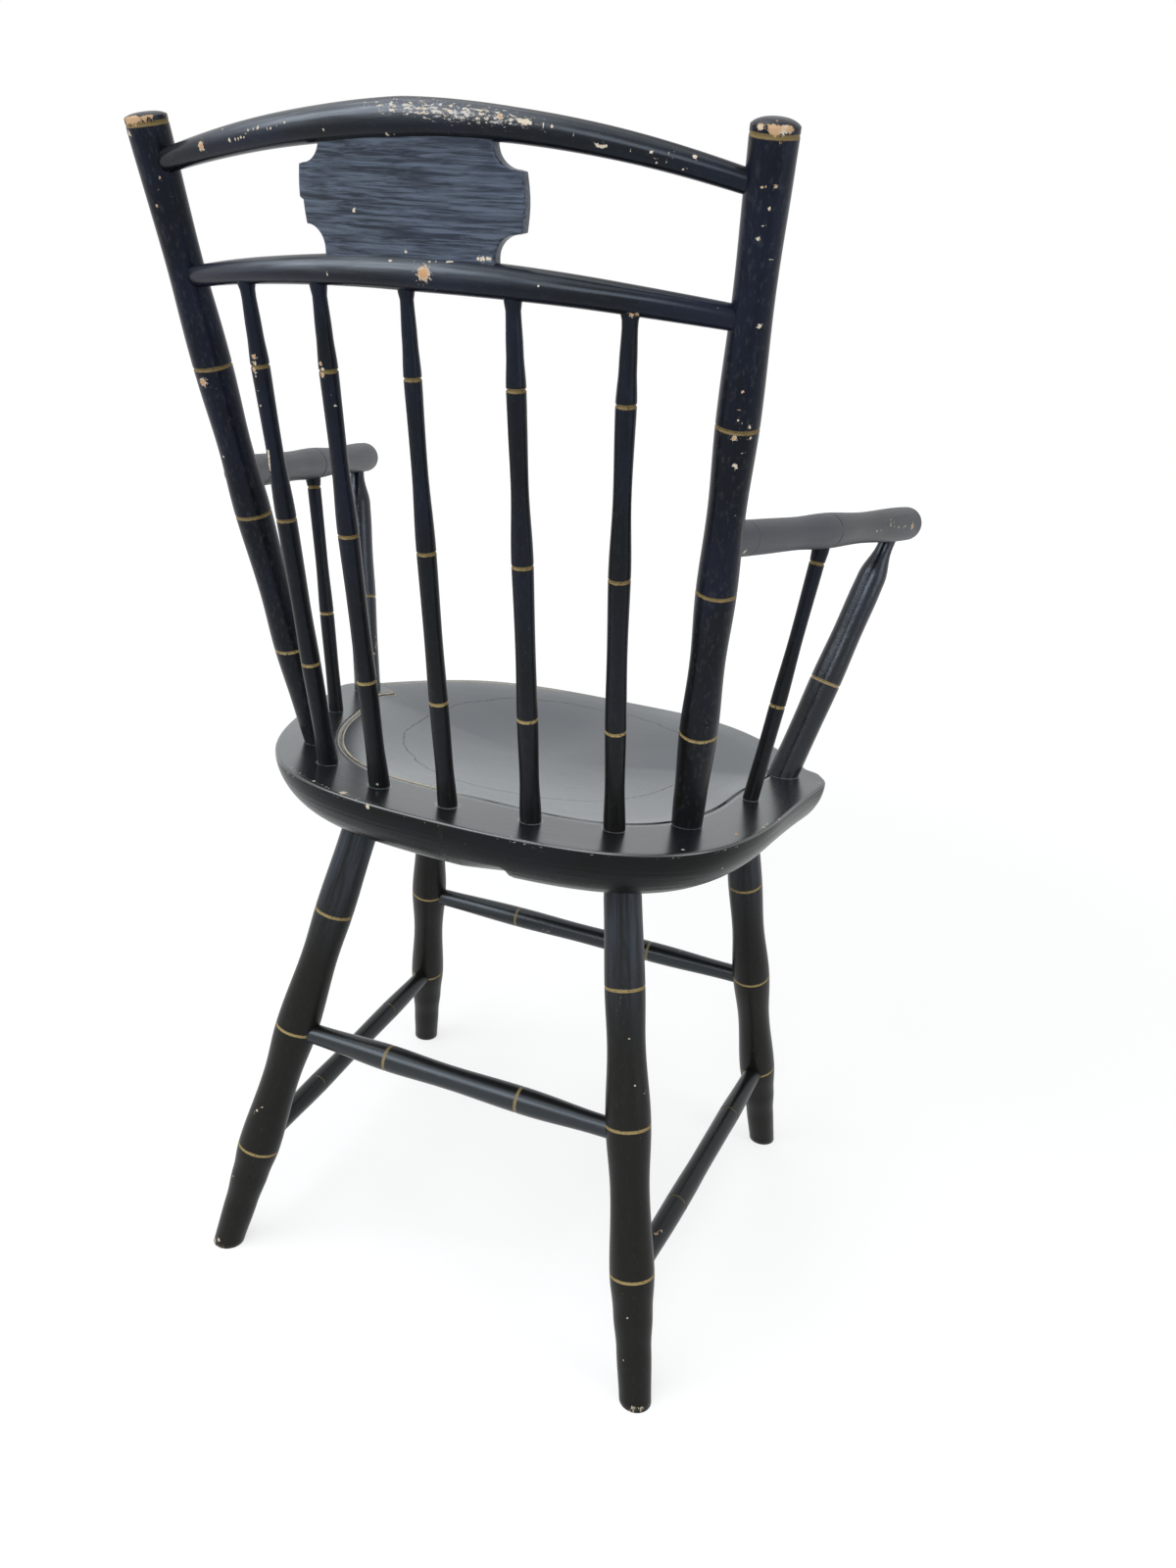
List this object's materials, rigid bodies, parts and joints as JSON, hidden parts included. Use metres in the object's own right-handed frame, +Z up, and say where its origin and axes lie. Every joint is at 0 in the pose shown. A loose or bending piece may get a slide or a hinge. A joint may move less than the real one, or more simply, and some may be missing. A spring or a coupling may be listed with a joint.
{
  "type": "windsor armchair",
  "caption": "Rod-back Windsor armchair with a saddled plank seat, bamboo-turned legs and spindles, and a shaped tablet between two bent back rails.",
  "frame": {"origin": "on the floor, under the centre of the whole chair's box", "axes": "+Z up, X across the chair, the sitter faces -Y"},
  "size_m": [0.5146, 0.4761, 0.8664],
  "materials": {
    "seat_paint": "aged black paint with a soft gloss, worn to pale wood along the edge",
    "turning_paint": "aged semi-gloss black paint, with ochre lines in the scored rings",
    "rail_paint": "aged black paint, worn to cream along the crest"
  },
  "bodies": {
    "root": {"seat": "seat_paint", "post_left": "turning_paint", "post_right": "turning_paint", "crest_rail": "rail_paint", "lower_rail": "rail_paint", "tablet": "rail_paint", "spindle_1": "turning_paint", "spindle_2": "turning_paint", "spindle_3": "turning_paint", "spindle_4": "turning_paint", "spindle_5": "turning_paint", "arm_left": "turning_paint", "arm_right": "turning_paint", "arm_support_left": "turning_paint", "arm_support_right": "turning_paint", "arm_spindle_left": "turning_paint", "arm_spindle_right": "turning_paint", "leg_front_left": "turning_paint", "leg_front_right": "turning_paint", "leg_rear_left": "turning_paint", "leg_rear_right": "turning_paint", "stretcher_front": "turning_paint", "stretcher_rear": "turning_paint", "stretcher_left": "turning_paint", "stretcher_right": "turning_paint"}
  },
  "joints": []
}
